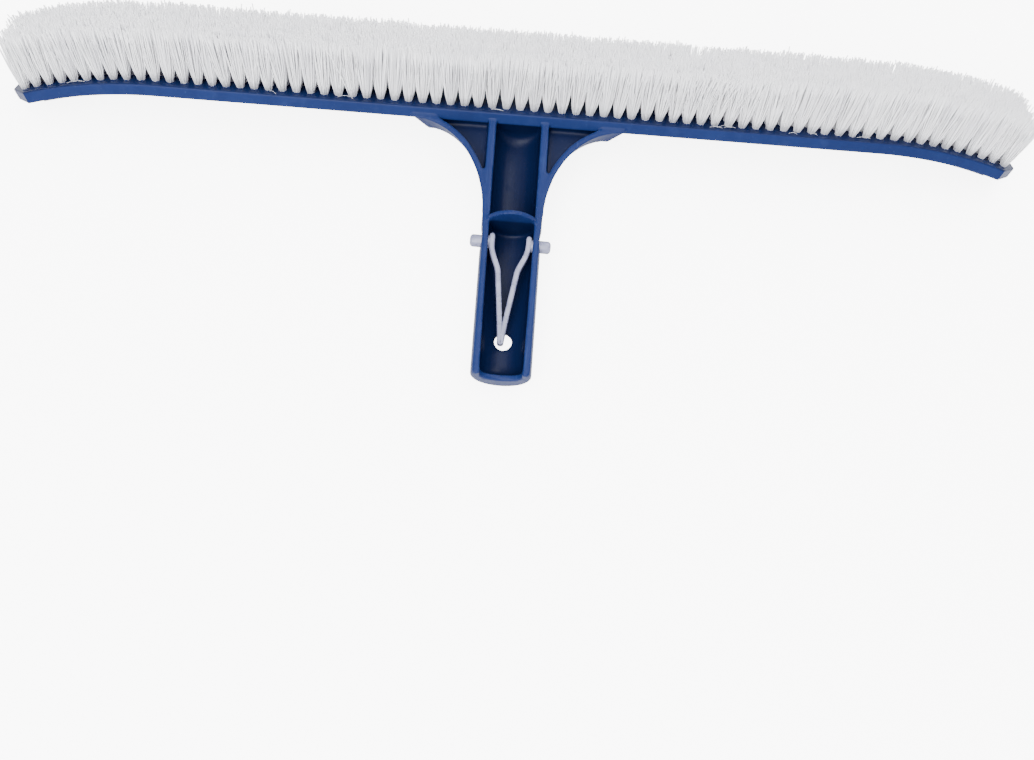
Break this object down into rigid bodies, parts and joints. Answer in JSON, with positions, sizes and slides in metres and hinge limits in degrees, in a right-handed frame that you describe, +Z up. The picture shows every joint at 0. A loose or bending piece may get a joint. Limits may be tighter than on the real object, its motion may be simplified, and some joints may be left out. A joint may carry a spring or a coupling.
{
  "type": "pool wall brush",
  "caption": "Wide pool wall brush: one-piece moulded head and open-trough pole handle, dense upright bristle tufts, and a sprung V clip with two snap buttons.",
  "frame": {"origin": "middle of the base of the brush's box, on the surface that it lies on", "axes": "+X along the head, -Y towards the shank's free end, +Z up out of the handle's trough"},
  "size_m": [0.452, 0.1604, 0.0504],
  "materials": {
    "body_plastic": "moulded blue polypropylene, satin sheen",
    "bristle_nylon": "white nylon filaments",
    "clip_nylon": "translucent natural nylon"
  },
  "bodies": {
    "brush": {"brush_body": "body_plastic", "clip_bow": "clip_nylon", "bristles_row_1_left_end": "bristle_nylon", "bristles_row_1_left": "bristle_nylon", "bristles_row_1_middle": "bristle_nylon", "bristles_row_1_right": "bristle_nylon", "bristles_row_1_right_end": "bristle_nylon", "bristles_row_2_left_end": "bristle_nylon", "bristles_row_2_left": "bristle_nylon", "bristles_row_2_middle": "bristle_nylon", "bristles_row_2_right": "bristle_nylon", "bristles_row_2_right_end": "bristle_nylon", "bristles_row_3_left_end": "bristle_nylon", "bristles_row_3_left": "bristle_nylon", "bristles_row_3_middle": "bristle_nylon", "bristles_row_3_right": "bristle_nylon", "bristles_row_3_right_end": "bristle_nylon", "bristles_row_4_left_end": "bristle_nylon", "bristles_row_4_left": "bristle_nylon", "bristles_row_4_middle": "bristle_nylon", "bristles_row_4_right": "bristle_nylon", "bristles_row_4_right_end": "bristle_nylon", "bristles_row_5_left_end": "bristle_nylon", "bristles_row_5_left": "bristle_nylon", "bristles_row_5_middle": "bristle_nylon", "bristles_row_5_right": "bristle_nylon", "bristles_row_5_right_end": "bristle_nylon"},
    "left_clip_arm": {"clip_leg_left": "clip_nylon", "clip_button_left": "clip_nylon"},
    "right_clip_arm": {"clip_leg_right": "clip_nylon", "clip_button_right": "clip_nylon"}
  },
  "joints": [
    {"name": "left_button_press", "type": "hinge", "parent": "brush", "child": "left_clip_arm", "pos_m": [-0.00242, -0.05072, 0.00925], "axis": [0.0044, 0.2087, -0.978], "range_deg": [0, 7.2], "stiffness_Nm_per_rad": 3},
    {"name": "right_button_press", "type": "hinge", "parent": "brush", "child": "right_clip_arm", "pos_m": [0.00068, -0.05081, 0.00925], "axis": [-0.0044, -0.2087, 0.978], "range_deg": [0, 7.2], "stiffness_Nm_per_rad": 3}
  ]
}
